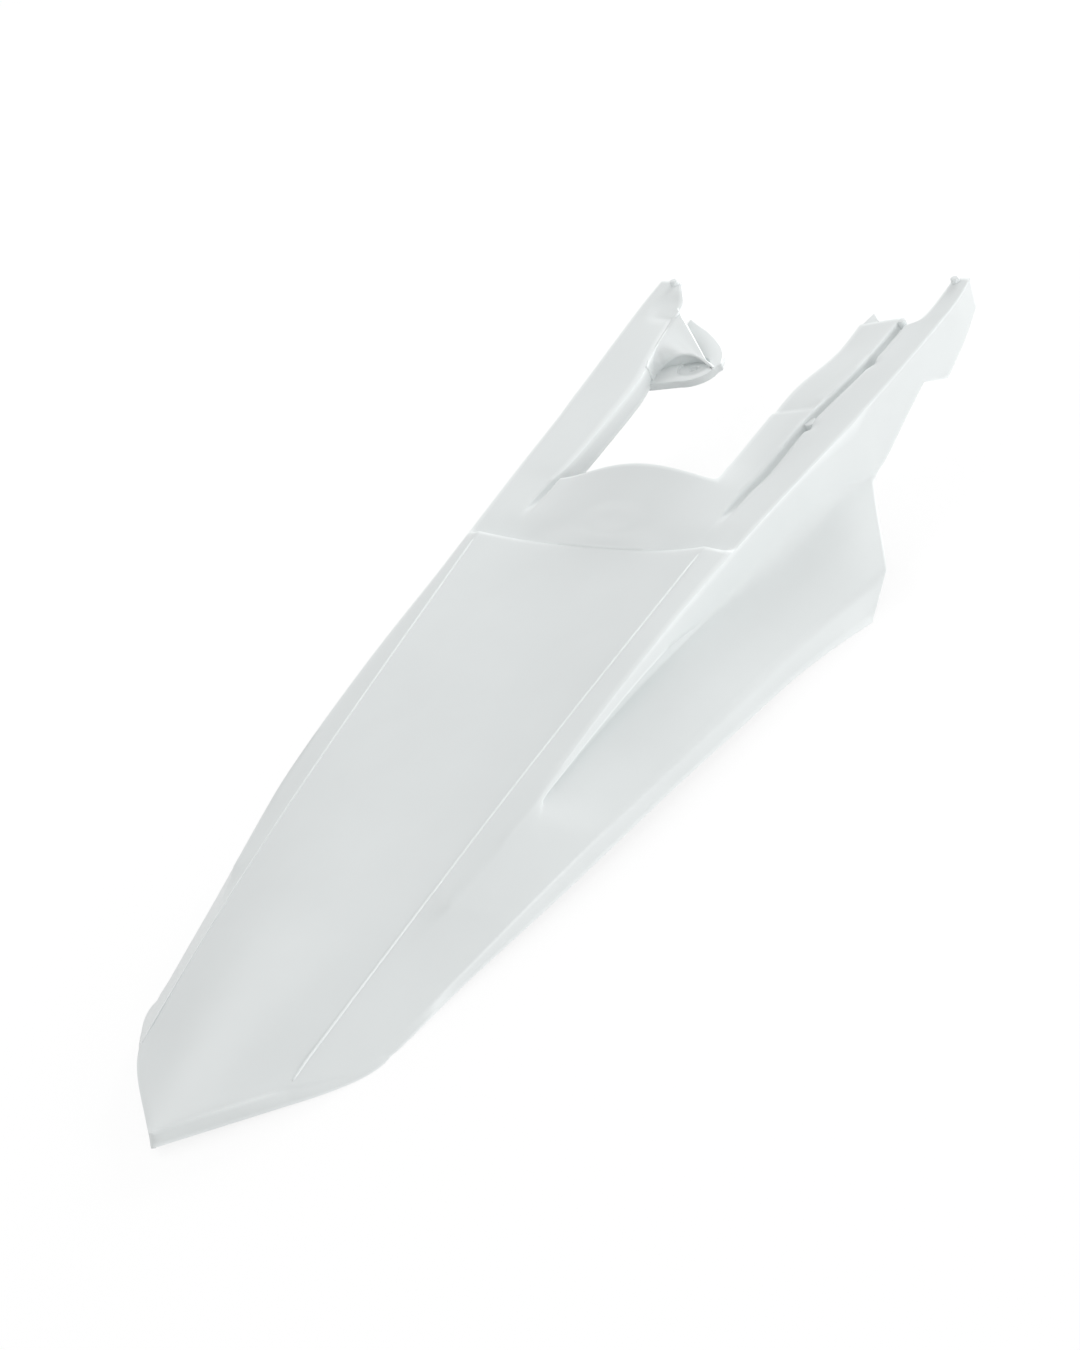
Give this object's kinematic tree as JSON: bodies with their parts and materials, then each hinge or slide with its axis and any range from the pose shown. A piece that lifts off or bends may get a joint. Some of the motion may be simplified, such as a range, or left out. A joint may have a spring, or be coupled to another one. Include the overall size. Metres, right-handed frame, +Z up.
{
  "type": "motorcycle rear fender",
  "caption": "One-piece moulded rear fender with a V-shaped crowned tail, ridged deck, undercut side wings, seat pad and forward arms with a ledge and a bracket.",
  "frame": {"origin": "middle of the box around the fender, on the surface that it lies on", "axes": "+X from the tail to the arms, +Y to the left, +Z up"},
  "size_m": [0.69, 0.3044, 0.0796],
  "materials": {
    "moulded_plastic": "white polypropylene, injection moulded, glossy outside with a fine grain"
  },
  "bodies": {
    "root": {"rear_fender": "moulded_plastic"}
  },
  "joints": []
}
